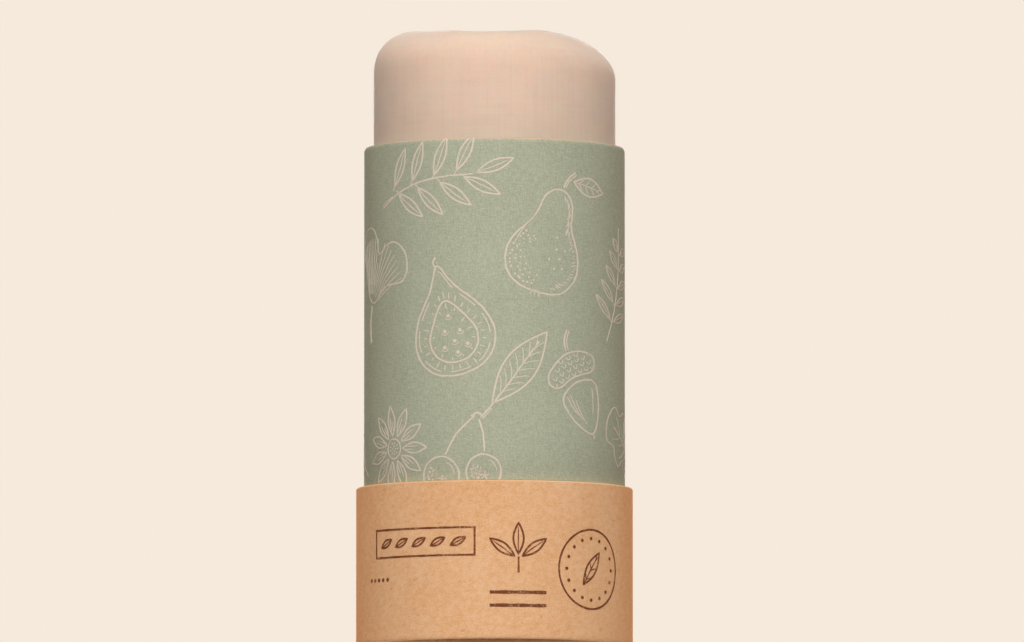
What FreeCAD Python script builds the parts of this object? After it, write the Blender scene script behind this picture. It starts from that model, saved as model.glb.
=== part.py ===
"""Push-up deodorant stick in a paper tube: worn bar, printed wrap, kraft base collar, piston.

Millimetres. The origin is the centre of the base, +Z runs up the tube and -Y is the front.
"""
import FreeCAD, Part
import math
import os
from FreeCAD import Vector

# Bar of deodorant
BAR_RADIUS = 18.57
BAR_LENGTH = 60.7
BAR_SHOWN = 18.1            # how far the bar stands out of the tube at rest, at its middle
TOP_SLOPE = 5.4             # degrees that the worn top slopes down towards the front
SHOULDER_DROP = 7.3         # height of the rounded shoulder
SHOULDER_LEFT = 6.7         # how far the shoulder comes in at the left
SHOULDER_RIGHT = 12.1       # the right side is worn down more
SHOULDER_FRONT = 4.4        # front and back alike
SHOULDER_RINGS = 6
RING_POINTS = 16            # points that each ring of the shoulder passes through

# Tube of rolled board
BAR_CLEARANCE = 0.08        # radial, between the bar and the tube's bore
TUBE_WALL = 1.12
TUBE_RIM = 76.5             # height of the tube's open end
RIM_OUTER_ROUND = 0.8
RIM_INNER_ROUND = 0.3
FOOT_RECESS = 0.5           # the tube's curled foot stands this far above the collar's foot
CURL_GAP_RADIUS = 0.4       # inside radius of the foot's turned-in bend
CURL_LIP = 1.0              # length of the turned-up edge

# Printed paper wrapped round the tube
GLUE = 0.03
WRAP_PAPER = 0.2
WRAP_OVER_RIM = 38.0        # degrees that the paper follows the rim's rounding
WRAP_SEAM = 0.3             # open butt seam down the back
WRAP_LIFT = 0.1             # the wrap ends this far above the collar

# Kraft collar glued round the foot of the tube
COLLAR_WALL = 1.4
COLLAR_HEIGHT = 24.1
COLLAR_TOP_ROUND = 0.3
COLLAR_FOOT_ROUND = 0.25

# Piston that carries the bar
DISC_THICKNESS = 1.5
DISC_CLEARANCE = 0.15
RING_HEIGHT = 8.0
RING_WALL = 1.4
RING_CLEARANCE = 0.1

# Print
INK_GAP = 0.04              # at the facets' corners; their middles come up to 0.033 nearer
INK_THICKNESS = 0.06
DRAWING_UNIT = 1.0          # length of one unit of the drawings and marks below
LINE_WIDTH = 0.27           # lines of the wrap's drawings
MARK_WIDTH = 0.3            # lines of the collar's marks
LINE_FLATNESS = 0.06        # how far a drawn line's straight facets may leave its curve
LEAF_FACET = 1.6            # length of the facets of a leaf's edge
LINE_FACET = 1.9            # longest facet of a drawn line
LEAF_TIP = 2.6              # how many line widths long a leaf's solid tip is
CIRCLE_FACETS = 28
DOT_FACETS = 8
PATTERN_REPEATS = 2         # the drawings repeat this often round the tube

# Worked out from the sizes above
TUBE_BORE = BAR_RADIUS + BAR_CLEARANCE
TUBE_RADIUS = TUBE_BORE + TUBE_WALL
WRAP_INNER = TUBE_RADIUS + GLUE
WRAP_RADIUS = WRAP_INNER + WRAP_PAPER
COLLAR_BORE = TUBE_RADIUS + GLUE
COLLAR_RADIUS = COLLAR_BORE + COLLAR_WALL
BEND_RADIUS = CURL_GAP_RADIUS + TUBE_WALL
BEND_HEIGHT = FOOT_RECESS + BEND_RADIUS
WRAP_FOOT = COLLAR_HEIGHT + WRAP_LIFT
RIM_ROUND_START = TUBE_RIM - RIM_OUTER_ROUND
BAR_TOP = TUBE_RIM + BAR_SHOWN
BAR_FOOT = BAR_TOP - BAR_LENGTH
DISC_FOOT = BAR_FOOT - DISC_THICKNESS
RING_FOOT = DISC_FOOT - RING_HEIGHT
WRAP_FIELD = (WRAP_FOOT, RIM_ROUND_START)
COLLAR_FIELD = (COLLAR_FOOT_ROUND, COLLAR_HEIGHT - COLLAR_TOP_ROUND)


def at(radius, height):
    """Point of a section, in the plane of X and Z."""
    return Vector(radius, 0, height)


def line(start, end):
    return Part.LineSegment(start, end).toShape()


def bend(centre, radius, from_deg, to_deg):
    """Arc of a section, between two angles measured from +X towards +Z."""
    points = []
    for degrees in (from_deg, (from_deg + to_deg) / 2.0, to_deg):
        angle = math.radians(degrees)
        points.append(centre + Vector(radius * math.cos(angle), 0, radius * math.sin(angle)))
    return Part.Arc(*points).toShape()


def turned(edges, sweep=360.0):
    """Solid turned about Z from the edges of one closed section."""
    section = Part.Face(Part.Wire(Part.__sortEdges__(edges)))
    return section.revolve(Vector(0, 0, 0), Vector(0, 0, 1), sweep)


def body_tube():
    """Rolled board tube: rounded rim, foot curled inward and up."""
    bend_centre = at(TUBE_BORE - CURL_GAP_RADIUS, BEND_HEIGHT)
    rim_outer = at(TUBE_RADIUS - RIM_OUTER_ROUND, RIM_ROUND_START)
    rim_inner = at(TUBE_BORE + RIM_INNER_ROUND, TUBE_RIM - RIM_INNER_ROUND)
    lip_outer = TUBE_BORE - 2 * CURL_GAP_RADIUS
    lip_inner = lip_outer - TUBE_WALL
    lip_top = BEND_HEIGHT + CURL_LIP
    edges = [
        line(at(TUBE_RADIUS, BEND_HEIGHT), at(TUBE_RADIUS, RIM_ROUND_START)),
        bend(rim_outer, RIM_OUTER_ROUND, 0, 90),
        line(at(rim_outer.x, TUBE_RIM), at(rim_inner.x, TUBE_RIM)),
        bend(rim_inner, RIM_INNER_ROUND, 90, 180),
        line(at(TUBE_BORE, rim_inner.z), at(TUBE_BORE, BEND_HEIGHT)),
        bend(bend_centre, CURL_GAP_RADIUS, 0, -180),
        line(at(lip_outer, BEND_HEIGHT), at(lip_outer, lip_top)),
        line(at(lip_outer, lip_top), at(lip_inner, lip_top)),
        line(at(lip_inner, lip_top), at(lip_inner, BEND_HEIGHT)),
        bend(bend_centre, BEND_RADIUS, -180, 0),
    ]
    return turned(edges)


def printed_wrap():
    """Paper wrapped once round the tube, over the rounded rim, with a butt seam at the back."""
    rim_centre = at(TUBE_RADIUS - RIM_OUTER_ROUND, RIM_ROUND_START)
    inner_round = RIM_OUTER_ROUND + GLUE
    outer_round = inner_round + WRAP_PAPER
    inner_arc = bend(rim_centre, inner_round, 0, WRAP_OVER_RIM)
    outer_arc = bend(rim_centre, outer_round, 0, WRAP_OVER_RIM)
    edges = [
        line(at(WRAP_INNER, WRAP_FOOT), at(WRAP_INNER, RIM_ROUND_START)),
        inner_arc,
        line(inner_arc.Vertexes[1].Point, outer_arc.Vertexes[1].Point),
        outer_arc,
        line(at(WRAP_RADIUS, RIM_ROUND_START), at(WRAP_RADIUS, WRAP_FOOT)),
        line(at(WRAP_RADIUS, WRAP_FOOT), at(WRAP_INNER, WRAP_FOOT)),
    ]
    seam = math.degrees(WRAP_SEAM / WRAP_RADIUS)
    wrap = turned(edges, 360.0 - seam)
    wrap.rotate(Vector(0, 0, 0), Vector(0, 0, 1), 90 + seam / 2.0)
    return wrap


def base_collar():
    """Ring of board with the outer edges of its top and foot rounded."""
    top_centre = at(COLLAR_RADIUS - COLLAR_TOP_ROUND, COLLAR_HEIGHT - COLLAR_TOP_ROUND)
    top = bend(top_centre, COLLAR_TOP_ROUND, 90, 0)
    foot = bend(at(COLLAR_RADIUS - COLLAR_FOOT_ROUND, COLLAR_FOOT_ROUND), COLLAR_FOOT_ROUND, 0, -90)
    edges = [
        line(at(COLLAR_BORE, COLLAR_HEIGHT), top.Vertexes[0].Point),
        top,
        line(top.Vertexes[1].Point, foot.Vertexes[0].Point),
        foot,
        line(foot.Vertexes[1].Point, at(COLLAR_BORE, 0)),
        line(at(COLLAR_BORE, 0), at(COLLAR_BORE, COLLAR_HEIGHT)),
    ]
    return turned(edges)


def piston_ring():
    outer = TUBE_BORE - RING_CLEARANCE
    foot = at(0, RING_FOOT)
    return Part.makeCylinder(outer, RING_HEIGHT, foot).cut(
        Part.makeCylinder(outer - RING_WALL, RING_HEIGHT, foot))


def piston_disc():
    return Part.makeCylinder(TUBE_BORE - DISC_CLEARANCE, DISC_THICKNESS, at(0, DISC_FOOT))


def bar_ring(share):
    """Ring round the bar's shoulder: share 0 is level and of full width, share 1 the flat top."""
    angle = math.radians(90.0 * share)
    slope = math.tan(math.radians(TOP_SLOPE)) * math.sin(angle)
    inset = 1.0 - math.cos(angle)
    left = SHOULDER_LEFT * inset
    right = SHOULDER_RIGHT * inset
    across = BAR_RADIUS - (left + right) / 2.0
    deep = BAR_RADIUS - SHOULDER_FRONT * inset
    centre = Vector((left - right) / 2.0, 0, BAR_TOP - SHOULDER_DROP * (1.0 - math.sin(angle)))
    points = []
    for index in range(RING_POINTS):
        turn = 2 * math.pi * index / RING_POINTS
        back = deep * math.sin(turn)
        points.append(centre + Vector(across * math.cos(turn), back, back * slope))
    curve = Part.BSplineCurve()
    curve.interpolate(points, PeriodicFlag=True)
    return Part.Wire([curve.toShape()])


def deodorant_bar():
    """Round bar with a domed top, worn lower and wider at the right."""
    rings = [bar_ring(index / SHOULDER_RINGS) for index in range(SHOULDER_RINGS + 1)]
    shoulder = Part.makeLoft(rings, True, False)
    barrel = Part.Face(rings[0]).extrude(Vector(0, 0, BAR_FOOT - (BAR_TOP - SHOULDER_DROP)))
    return barrel.fuse(shoulder).removeSplitter().Solids[0]


def flat(x, y):
    """Point of a drawing, in millimetres."""
    return Vector(x, y, 0) * DRAWING_UNIT


def line_band(points, width, closed=False):
    """Left and right edge of a line of one width whose middle passes smoothly through the points."""
    curve = Part.BSplineCurve()
    curve.interpolate([flat(x, y) for x, y in points], PeriodicFlag=closed)
    bends = [curve.parameter(point) for point in curve.discretize(Deflection=LINE_FLATNESS)]
    bends[0] = curve.FirstParameter
    bends[-1] = curve.LastParameter
    stations = []
    for start, end in zip(bends, bends[1:]):
        count = math.ceil(curve.length(start, end) / LINE_FACET)
        stations += [start + (end - start) * index / count for index in range(count)]
    if not closed:
        stations.append(bends[-1])
    left = []
    right = []
    for station in stations:
        middle = curve.value(station)
        along = curve.tangent(station)[0]
        side = Vector(-along.y, along.x, 0) * (width / 2.0)
        left.append(middle + side)
        right.append(middle - side)
    return left, right, closed


def rule_band(start, end, width):
    """Straight line."""
    start = flat(*start)
    along = flat(*end) - start
    side = Vector(-along.y, along.x, 0).normalize() * (width / 2.0)
    count = math.ceil(along.Length / LINE_FACET)
    middles = [start + along * (index / count) for index in range(count + 1)]
    return [middle + side for middle in middles], [middle - side for middle in middles], False


def round_points(radius, count):
    turns = [2 * math.pi * index / count for index in range(count)]
    return [(radius * math.cos(turn), radius * math.sin(turn)) for turn in turns]


def circle_band(centre, radius, width):
    """Ring whose outer radius is given in drawing units."""
    middle = flat(*centre)
    outer = [flat(x, y) for x, y in round_points(radius, CIRCLE_FACETS)]
    inner = [point * (1 - width / point.Length) for point in outer]
    return [middle + point for point in outer], [middle + point for point in inner], True


def dot_band(centre, radius):
    """Small filled disc, as a line that widens and narrows again."""
    half_facet = math.pi / DOT_FACETS
    turns = [math.pi - half_facet * (2 * index + 1) for index in range(DOT_FACETS // 2)]
    middle = flat(*centre)
    upper = [middle + flat(radius * math.cos(turn), radius * math.sin(turn)) for turn in turns]
    lower = [middle + flat(radius * math.cos(turn), -radius * math.sin(turn)) for turn in turns]
    return upper, lower, False


def lens(start, end, half_breadth, facets):
    """Edge of a pointed leaf, up one side and down the other."""
    along = end - start
    side = Vector(-along.y, along.x, 0).normalize() * half_breadth
    points = []
    for index in range(2 * facets):
        share = index / facets
        travel = along * (share if share <= 1 else 2 - share)
        points.append(start + travel + side * math.sin(math.pi * share))
    return points


def leaf_band(base, tip, breadth, width):
    """Outline of a pointed leaf; its length and breadth are in drawing units."""
    start = flat(*base)
    end = flat(*tip)
    half_breadth = breadth * DRAWING_UNIT / 2.0
    facets = max(3, round((end - start).Length / LEAF_FACET))
    inset = (end - start).normalize() * (LEAF_TIP * width)
    outer = lens(start, end, half_breadth, facets)
    inner = lens(start + inset, end - inset, half_breadth - width, facets)
    return outer, inner, True


def mirrored(points):
    """Points of a half outline, followed by their mirror images on the left."""
    return points + [(-x, y) for x, y in reversed(points) if abs(x) > 0]


def pear():
    half = [(0, 7.6), (2.2, 6.4), (3.1, 3.0), (5.2, -0.6), (6.1, -4.2), (4.1, -7.7), (0, -8.6)]
    return [
        line_band(mirrored(half), LINE_WIDTH, True),
        line_band([(0.2, 8.1), (0.6, 9.6), (1.7, 11.0)], LINE_WIDTH),
        leaf_band((1.7, 9.5), (8.3, 9.9), 3.0, LINE_WIDTH),
    ]


def fig_half():
    half = [(0, 8.8), (1.3, 6.6), (3.8, 3.2), (6.2, -0.8), (6.2, -4.6), (3.8, -7.4), (0, -8.3)]
    hollow = [(0, 3.2), (2.6, 0.4), (3.9, -2.8), (2.7, -5.4), (0, -6.3)]
    seeds = [(0, 0.9), (-1.1, -1.3), (1.3, -1.7), (0.1, -3.1), (-1.7, -3.7), (2.0, -4.0), (0.2, -4.9)]
    return [
        line_band(mirrored(half), LINE_WIDTH, True),
        line_band(mirrored(hollow), LINE_WIDTH, True),
    ] + [dot_band(seed, 0.3) for seed in seeds]


def olive_sprig():
    leaf_length = 6.2
    leaf_breadth = 1.9
    stem_clearance = 0.6
    # Where each leaf leaves the stem, and the way it points, in degrees
    leaves = [(-6.8, 58), (-6.2, -48), (-3.0, 62), (-2.2, -54), (1.0, 60), (1.8, -46), (4.8, 54), (5.8, -36)]
    parts = [line_band([(-10.2, -1.9), (-5.0, -0.3), (0.5, 0.2), (7.2, -0.4)], LINE_WIDTH)]
    for x, degrees in leaves:
        angle = math.radians(degrees)
        way = (math.cos(angle), math.sin(angle))
        base = (x, math.copysign(stem_clearance, degrees))
        tip = (x + leaf_length * way[0], base[1] + leaf_length * way[1])
        parts.append(leaf_band(base, tip, leaf_breadth, LINE_WIDTH))
    parts.append(leaf_band((7.8, -0.3), (13.8, 0.9), leaf_breadth, LINE_WIDTH))
    return parts


def ginkgo_leaf():
    right = [(0.7, -3.0), (3.4, 0.4), (7.2, 2.6), (6.9, 5.6), (4.0, 7.5), (1.7, 6.6)]
    left = [(-x, y) for x, y in reversed(right)]
    return [
        line_band(right + [(0, 4.6)] + left, LINE_WIDTH, True),
        line_band([(0, -3.6), (0.3, -6.6), (1.6, -9.2)], LINE_WIDTH),
    ]


def acorn():
    nut = [(0, -7.6), (1.6, -6.4), (3.3, -3.2), (3.4, -0.6), (1.8, 0.5)]
    cap = [(0, 5.5), (2.8, 4.7), (4.7, 2.7), (4.0, 1.4), (1.6, 1.5)]
    return [
        line_band(mirrored(nut), LINE_WIDTH, True),
        line_band(mirrored(cap), LINE_WIDTH, True),
        line_band([(0, 5.9), (0.3, 7.4), (1.4, 8.8)], LINE_WIDTH),
    ]


def fern():
    # Height on the stem of each pair of leaflets, and their length
    leaflets = [(-6.0, 5.4), (-3.2, 5.0), (-0.4, 4.4), (2.4, 3.7), (5.0, 2.9)]
    rise = math.radians(28.0)
    stem_clearance = 0.55
    parts = [line_band([(-0.8, -9.6), (0.5, -4.0), (0.6, 2.0), (-0.9, 8.6)], LINE_WIDTH)]
    for height, length in leaflets:
        stem_x = 0.6 - 0.012 * (height - 1.0) ** 2
        for side in (-1, 1):
            base = (stem_x + side * stem_clearance, height)
            tip = (base[0] + side * length * math.cos(rise), height + length * math.sin(rise))
            parts.append(leaf_band(base, tip, 1.5, LINE_WIDTH))
    return parts


def laurel_leaf():
    return [
        leaf_band((0, -6.8), (0, 7.2), 5.2, LINE_WIDTH),
        line_band([(0, -9.6), (0.15, -4.0), (0, 0.5), (-0.1, 5.2)], LINE_WIDTH),
    ]


def daisy():
    petals = 11
    petal_start = 2.0
    petal_end = 6.6
    parts = [circle_band((0, 0), 1.7, LINE_WIDTH)]
    for x, y in round_points(1.0, petals):
        base = (petal_start * x, petal_start * y)
        tip = (petal_end * x, petal_end * y)
        parts.append(leaf_band(base, tip, 1.9, LINE_WIDTH))
    return parts


def berries():
    """Two round berries on stalks that meet."""
    return [
        circle_band((-3.2, -2.4), 3.1, LINE_WIDTH),
        circle_band((3.4, -0.9), 2.8, LINE_WIDTH),
        line_band([(-2.9, 0.9), (-1.6, 4.2), (0.9, 7.4)], LINE_WIDTH),
        line_band([(3.1, 2.1), (2.6, 4.6), (1.6, 6.9)], LINE_WIDTH),
    ]


def oak_leaf():
    right = [
        (0.6, -6.8), (1.5, -4.6), (3.4, -3.6), (3.2, -1.6), (2.4, -0.3),
        (4.3, 1.2), (3.8, 3.2), (2.7, 4.3), (3.0, 6.3), (1.3, 7.7),
    ]
    return [
        line_band(right + [(-x, y) for x, y in reversed(right)], LINE_WIDTH, True),
        line_band([(0, -10.0), (0.2, -6.0), (0, 0.0), (0, 5.4)], LINE_WIDTH),
    ]


def frame_mark():
    """Plain frame with a row of leaves in it."""
    half_width = 9.2
    half_height = 2.1
    end_gap = 0.2
    parts = []
    for side in (-1, 1):
        x = side * half_width
        y = side * half_height
        parts.append(rule_band((-half_width, y), (half_width, y), MARK_WIDTH))
        parts.append(rule_band((x, end_gap - half_height), (x, half_height - end_gap), MARK_WIDTH))
    for index in range(5):
        x = (index - 2) * 3.3
        parts.append(leaf_band((x - 1.2, -0.6), (x + 1.2, 0.6), 1.3, MARK_WIDTH))
    return parts


def dot_row():
    return [dot_band(((index - 2) * 1.1, 0), 0.32) for index in range(5)]


def sprig_mark():
    """Three leaves on a stalk, over two rules."""
    rule_width = 0.5
    return [
        rule_band((-4.4, -6.4), (4.4, -6.4), rule_width),
        rule_band((-4.4, -8.4), (4.4, -8.4), rule_width),
        leaf_band((0, -0.6), (0, 4.2), 1.9, MARK_WIDTH),
        leaf_band((-0.6, -0.9), (-4.4, 1.8), 1.7, MARK_WIDTH),
        leaf_band((0.6, -0.9), (4.4, 1.8), 1.7, MARK_WIDTH),
        rule_band((0, -3.4), (0, -1.0), MARK_WIDTH),
    ]


def seal_mark():
    """Round seal: a ring, a circle of dots and a leaf."""
    return (
        [circle_band((0, 0), 6.2, MARK_WIDTH), leaf_band((-1.6, -2.4), (1.8, 2.6), 2.2, MARK_WIDTH)]
        + [dot_band(place, 0.28) for place in round_points(4.7, 16)]
    )


# Each drawing's place on the wrap: bearing from the front in degrees, share of the field's
# height, and tilt in degrees
WRAP_DRAWINGS = [
    (pear, 25, 0.72, -16),
    (olive_sprig, -30, 0.89, 10),
    (fig_half, -20, 0.47, 14),
    (laurel_leaf, 11, 0.33, -38),
    (acorn, 40, 0.28, 24),
    (ginkgo_leaf, -66, 0.60, -20),
    (daisy, -50, 0.10, 0),
    (berries, -14, 0.05, -8),
    (fern, 68, 0.60, -14),
    (oak_leaf, 80, 0.12, 62),
]
# Each mark's bearing and its height on the collar
COLLAR_MARKS = [
    (frame_mark, -33, 14.8),
    (dot_row, -56, 9.3),
    (sprig_mark, 10, 13.4),
    (seal_mark, 44, 10.8),
]


def laid(point, surface, bearing, height, tilt):
    """Point of a drawing, laid just above the round surface at a bearing and height."""
    across = point.x * math.cos(tilt) - point.y * math.sin(tilt)
    upward = point.x * math.sin(tilt) + point.y * math.cos(tilt)
    angle = bearing + across / surface
    radius = surface + INK_GAP
    return Vector(radius * math.sin(angle), -radius * math.cos(angle), height + upward)


def facet(*corners):
    return Part.Face(Part.makePolygon(corners + corners[:1]))


def ribbon(left, right, closed):
    """Thin solid between two edges on the round surface, with flat facets."""
    middle = left[len(left) // 2]
    lift = Vector(middle.x, middle.y, 0).normalize() * INK_THICKNESS
    pairs = list(zip(left, right))
    if closed:
        pairs.append(pairs[0])
    faces = []
    for (one, other), (next_one, next_other) in zip(pairs, pairs[1:]):
        for shift in (Vector(0, 0, 0), lift):
            faces.append(facet(one + shift, other + shift, next_other + shift))
            faces.append(facet(one + shift, next_other + shift, next_one + shift))
        faces.append(facet(one, next_one, next_one + lift, one + lift))
        faces.append(facet(other, next_other, next_other + lift, other + lift))
    if not closed:
        for one, other in (pairs[0], pairs[-1]):
            faces.append(facet(one, other, other + lift, one + lift))
    shell = Part.Shell(faces)
    shell.sewShape()
    solid = Part.Solid(shell)
    return solid if solid.Volume > 0 else solid.reversed()


def inked(bands, surface, field, bearing, height, tilt=0.0, repeats=1):
    """Thin solids of a drawing's lines on a round surface, cut off at the field's edges."""
    low, high = field
    clip = Part.makeCylinder(surface + 2 * (INK_GAP + INK_THICKNESS), high - low, at(0, low))
    place = (surface, math.radians(bearing), height, math.radians(tilt))
    solids = []
    for left, right, closed in bands:
        one_side = [laid(point, *place) for point in left]
        other_side = [laid(point, *place) for point in right]
        solid = ribbon(one_side, other_side, closed)
        if solid.BoundBox.ZMin < low or solid.BoundBox.ZMax > high:
            solid = solid.common(clip)
        solids += solid.Solids
    placed = []
    for repeat in range(repeats):
        for solid in solids:
            copy = solid.copy()
            copy.rotate(Vector(0, 0, 0), Vector(0, 0, 1), 360.0 * repeat / repeats)
            placed.append(copy)
    return placed


def wrap_print():
    low, high = WRAP_FIELD
    solids = []
    for drawing, bearing, share, tilt in WRAP_DRAWINGS:
        height = low + share * (high - low)
        solids += inked(drawing(), WRAP_RADIUS, WRAP_FIELD, bearing, height, tilt, PATTERN_REPEATS)
    return Part.makeCompound(solids)


def collar_print():
    solids = []
    for mark, bearing, height in COLLAR_MARKS:
        solids += inked(mark(), COLLAR_RADIUS, COLLAR_FIELD, bearing, height * DRAWING_UNIT)
    return Part.makeCompound(solids)


NODES = {
    "body_tube": body_tube,
    "printed_wrap": printed_wrap,
    "wrap_print": wrap_print,
    "base_collar": base_collar,
    "collar_print": collar_print,
    "piston_disc": piston_disc,
    "piston_ring": piston_ring,
    "deodorant_bar": deodorant_bar,
}

os.makedirs("parts", exist_ok=True)
for node, make in NODES.items():
    make().exportStep("parts/" + node + ".step")
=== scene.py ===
"""Looks of a push-up deodorant stick: worn bar, green wrap with line drawings, kraft collar."""

import math
import random

import bpy
import numpy as np
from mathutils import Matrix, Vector, noise

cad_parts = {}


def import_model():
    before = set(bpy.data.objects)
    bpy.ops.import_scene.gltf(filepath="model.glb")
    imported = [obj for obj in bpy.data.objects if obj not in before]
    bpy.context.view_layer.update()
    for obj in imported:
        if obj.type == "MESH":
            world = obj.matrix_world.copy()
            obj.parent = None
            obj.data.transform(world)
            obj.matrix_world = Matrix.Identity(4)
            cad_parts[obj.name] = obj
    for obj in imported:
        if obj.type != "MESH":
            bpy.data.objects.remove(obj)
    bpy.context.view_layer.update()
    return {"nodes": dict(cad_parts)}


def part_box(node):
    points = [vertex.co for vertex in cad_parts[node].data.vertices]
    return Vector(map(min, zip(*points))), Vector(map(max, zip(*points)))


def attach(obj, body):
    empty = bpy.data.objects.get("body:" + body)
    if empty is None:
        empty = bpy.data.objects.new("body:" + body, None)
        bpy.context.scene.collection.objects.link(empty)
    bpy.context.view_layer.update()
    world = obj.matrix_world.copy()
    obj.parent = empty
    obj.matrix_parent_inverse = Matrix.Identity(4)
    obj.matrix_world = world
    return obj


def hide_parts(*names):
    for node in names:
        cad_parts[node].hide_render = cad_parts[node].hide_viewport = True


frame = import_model()

MM = 0.001

# Camera: a long lens that looks up at the object a little
IMAGE_WIDTH = 1024          # pixels
PIXELS_PER_MM = 6.519       # at the tube's axis
AXIS_COLUMN = 494.5         # pixels from the image's left edge to the axis
CENTRE_HEIGHT = 49.9        # height on the axis, in millimetres, at the middle of the image
VIEW_BELOW = 4.35           # degrees below level
CAMERA_DISTANCE = 2.56      # metres
SENSOR_WIDTH = 36.0         # of the camera, in its own millimetres
CLIP_START = 0.1            # metres
CLIP_END = 20.0

# Light: each share is what the lamp adds on a wall that faces its azimuth. Elevations are in degrees.
LAMP_DISTANCE = 2.2         # metres from the object
LAMP_SIZE = 1.3             # metres along each side
LAMP_AIM_HEIGHT = 0.05      # metres
AMBIENT = 0.12
AMBIENT_COLOUR = (1.0, 0.86, 0.72, 1.0)
KEY_SHARE = 0.78
KEY_ELEVATION = 38.0
RIM_AZIMUTH = 140.0         # degrees round from the front, one lamp each way
RIM_ELEVATION = 8.0
RIM_LEFT = 0.06
RIM_RIGHT = 0.10
BACK_SHARE = 0.34
BACK_ELEVATION = 3.0
BELOW_SHARE = 0.10
BELOW_ELEVATION = -80.0
FLOOR_RADIUS = 0.7          # metres
FLOOR_CORNERS = 64

# Sizes taken from the frame, in millimetres
BAR_LOW, BAR_HIGH = (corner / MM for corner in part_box("deodorant_bar"))
WRAP_LOW, WRAP_HIGH = (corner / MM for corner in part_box("printed_wrap"))
COLLAR_LOW, COLLAR_HIGH = (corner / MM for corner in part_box("base_collar"))
TUBE_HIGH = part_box("body_tube")[1] / MM
BAR_RADIUS = BAR_HIGH.x
WRAP_RADIUS = WRAP_HIGH.x
COLLAR_RADIUS = COLLAR_HIGH.x

# Rounded edges, in millimetres
RIM_ROUND = 0.8             # outer edge of the tube's rim, which the wrap follows
WRAP_OVER_RIM = 38.0        # degrees that the wrap follows it
COLLAR_TOP_ROUND = 0.3
COLLAR_FOOT_ROUND = 0.25

# Worn bar, in millimetres
SHOULDER_LEFT = 6.7
SHOULDER_RIGHT = 12.1
SHOULDER_FRONT = 4.4
DROP_LEFT = 6.9
DROP_RIGHT = 7.6
TOP_SLOPE = math.tan(math.radians(5.4))     # rise towards the back for each millimetre
BAR_TOP = BAR_HIGH.z - (BAR_RADIUS - SHOULDER_FRONT) * TOP_SLOPE
# Low ridges that wear has left across the top: place from left to right, height, breadth
TOP_RIDGES = [(5.6, 0.20, 2.6), (-6.2, 0.09, 1.6)]
# Rows and columns of the bar's skin
BAR_TURNS = 144
WALL_ROWS = 44
SHOULDER_ROWS = 30
TOP_ROWS = 22

# Ink, in millimetres
INK_TOP = 0.035             # above the paper
INK_FOOT = -0.02            # below the paper's surface, so that no gap shows
LINE_WIDTH = 0.27
FINE_WIDTH = 0.18
MARK_WIDTH = 0.3
STEP = 0.25                 # length of a drawn line's facets
DOT_CORNERS = 8
TREMOR = 0.05               # how far a drawn line strays
WHOLE_WAVE = 6.28           # radians, near enough

# Colours: sRGB of 0 to 255, and the lamps' ones linear
BACKGROUND = (246, 234, 220)
GREEN = (178, 181, 157)
KRAFT = (238, 186, 138)
KRAFT_DEEP = (223, 164, 111)
KRAFT_PALE = (244, 204, 165)
# Collar's top edge: paler cut board, with a painted highlight on its rounding
COLLAR_CUT_EDGE_AND_HIGHLIGHT = (244, 205, 160)
BOARD_TONES = ((196, 140, 94), (212, 158, 110), (226, 180, 138))
BOARD_EDGE = (226, 197, 172)
PISTON_TONES = ((168, 116, 76), (186, 134, 92), (204, 156, 116))
WORN_GREEN = (222, 186, 154)
INK_CREAM = (225, 210, 193)
INK_BROWN = (118, 62, 32)
BAR_COLOUR = (235, 210, 190)
LAMP_WHITE = (1.0, 1.0, 1.0)
RIM_COLOUR = (1.0, 0.74, 0.58)


def linear(colour):
    """Colour of 0 to 255 as Blender's linear one, with alpha."""
    shares = [part / 255.0 for part in colour]
    parts = [s / 12.92 if s <= 0.04045 else ((s + 0.055) / 1.055) ** 2.4 for s in shares]
    return (*parts, 1.0)


def shaded(colour, share):
    """The colour with its light multiplied by a share."""
    return (*[part * share for part in linear(colour)[:3]], 1.0)


def link(thing):
    bpy.context.scene.collection.objects.link(thing)
    return thing


# Shader nodes

def node(tree, kind, inputs=None, **settings):
    """New node; an input is given a socket to link or a value to hold."""
    made = tree.nodes.new(kind)
    for key, value in settings.items():
        setattr(made, key, value)
    for key, value in (inputs or {}).items():
        if isinstance(value, bpy.types.NodeSocket):
            tree.links.new(value, made.inputs[key])
        else:
            made.inputs[key].default_value = value
    return made


def maths(tree, operation, *values):
    return node(tree, "ShaderNodeMath", dict(enumerate(values)), operation=operation).outputs[0]


def blend_colours(tree, share, first, second):
    mix = node(tree, "ShaderNodeMix", {0: share, 6: first, 7: second}, data_type="RGBA")
    return mix.outputs[2]


def between(tree, value, low, high):
    """0 below low and 1 above high, smooth between them."""
    mapped = node(tree, "ShaderNodeMapRange", {0: value, 1: low, 2: high}, interpolation_type="SMOOTHSTEP")
    return mapped.outputs[0]


def ramp(tree, value, stops):
    """Colour ramp from pairs of place and colour."""
    made = node(tree, "ShaderNodeValToRGB", {0: value})
    elements = made.color_ramp.elements
    while len(elements) < len(stops):
        elements.new(0.5)
    for element, (place, colour) in zip(elements, stops):
        element.position = place
        element.color = colour
    return made.outputs[0]


def millimetres(tree):
    """Place in the object, in millimetres, and its X, Y and Z apart."""
    coordinates = node(tree, "ShaderNodeTexCoord").outputs["Object"]
    enlarged = {0: coordinates, "Scale": 1 / MM}
    scaled = node(tree, "ShaderNodeVectorMath", enlarged, operation="SCALE").outputs[0]
    parts = node(tree, "ShaderNodeSeparateXYZ", {0: scaled}).outputs
    return scaled, parts


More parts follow.
